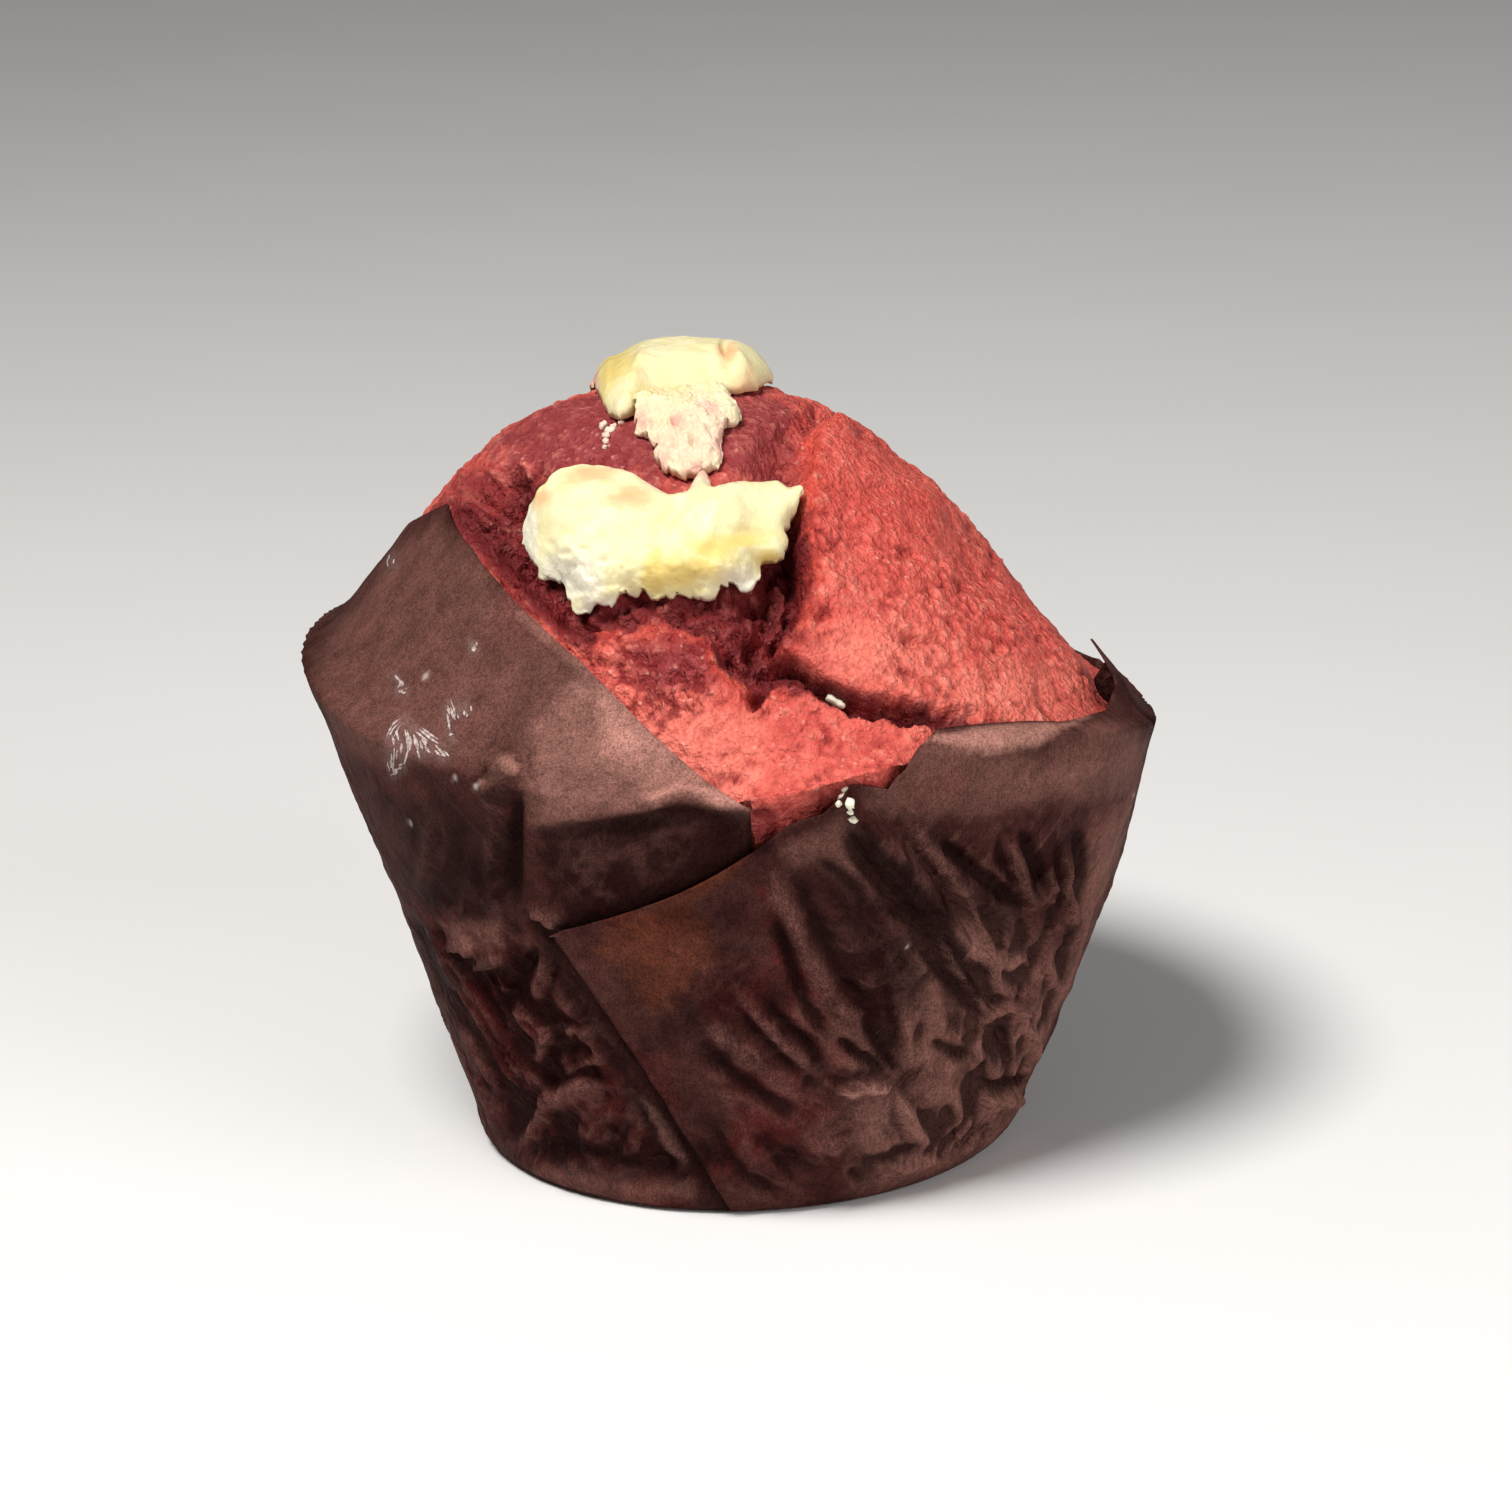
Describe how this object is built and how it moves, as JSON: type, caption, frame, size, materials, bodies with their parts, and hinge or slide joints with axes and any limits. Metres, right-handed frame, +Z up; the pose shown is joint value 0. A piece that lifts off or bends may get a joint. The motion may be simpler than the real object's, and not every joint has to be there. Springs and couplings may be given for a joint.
{
  "type": "red velvet muffin",
  "caption": "Red velvet muffin with a cracked domed top and pieces of cream cheese, in a folded brown tulip paper case.",
  "frame": {"origin": "centre of the flat round base that the muffin stands on", "axes": "+Z up out of the base, -Y towards the front where the paper's folded flap lies, +X to the right of the picture"},
  "size_m": [0.0846, 0.0822, 0.0802],
  "materials": {
    "red_velvet_crumb": "matte, open crumb",
    "brown_paper": "matte greaseproof paper, creased",
    "cream_cheese": "soft, slightly waxy"
  },
  "bodies": {
    "root": {"cake": "red_velvet_crumb", "paper_case": "brown_paper", "cream_cheese_front": "cream_cheese", "cream_cheese_top": "cream_cheese", "cream_cheese_middle": "cream_cheese"}
  },
  "joints": []
}
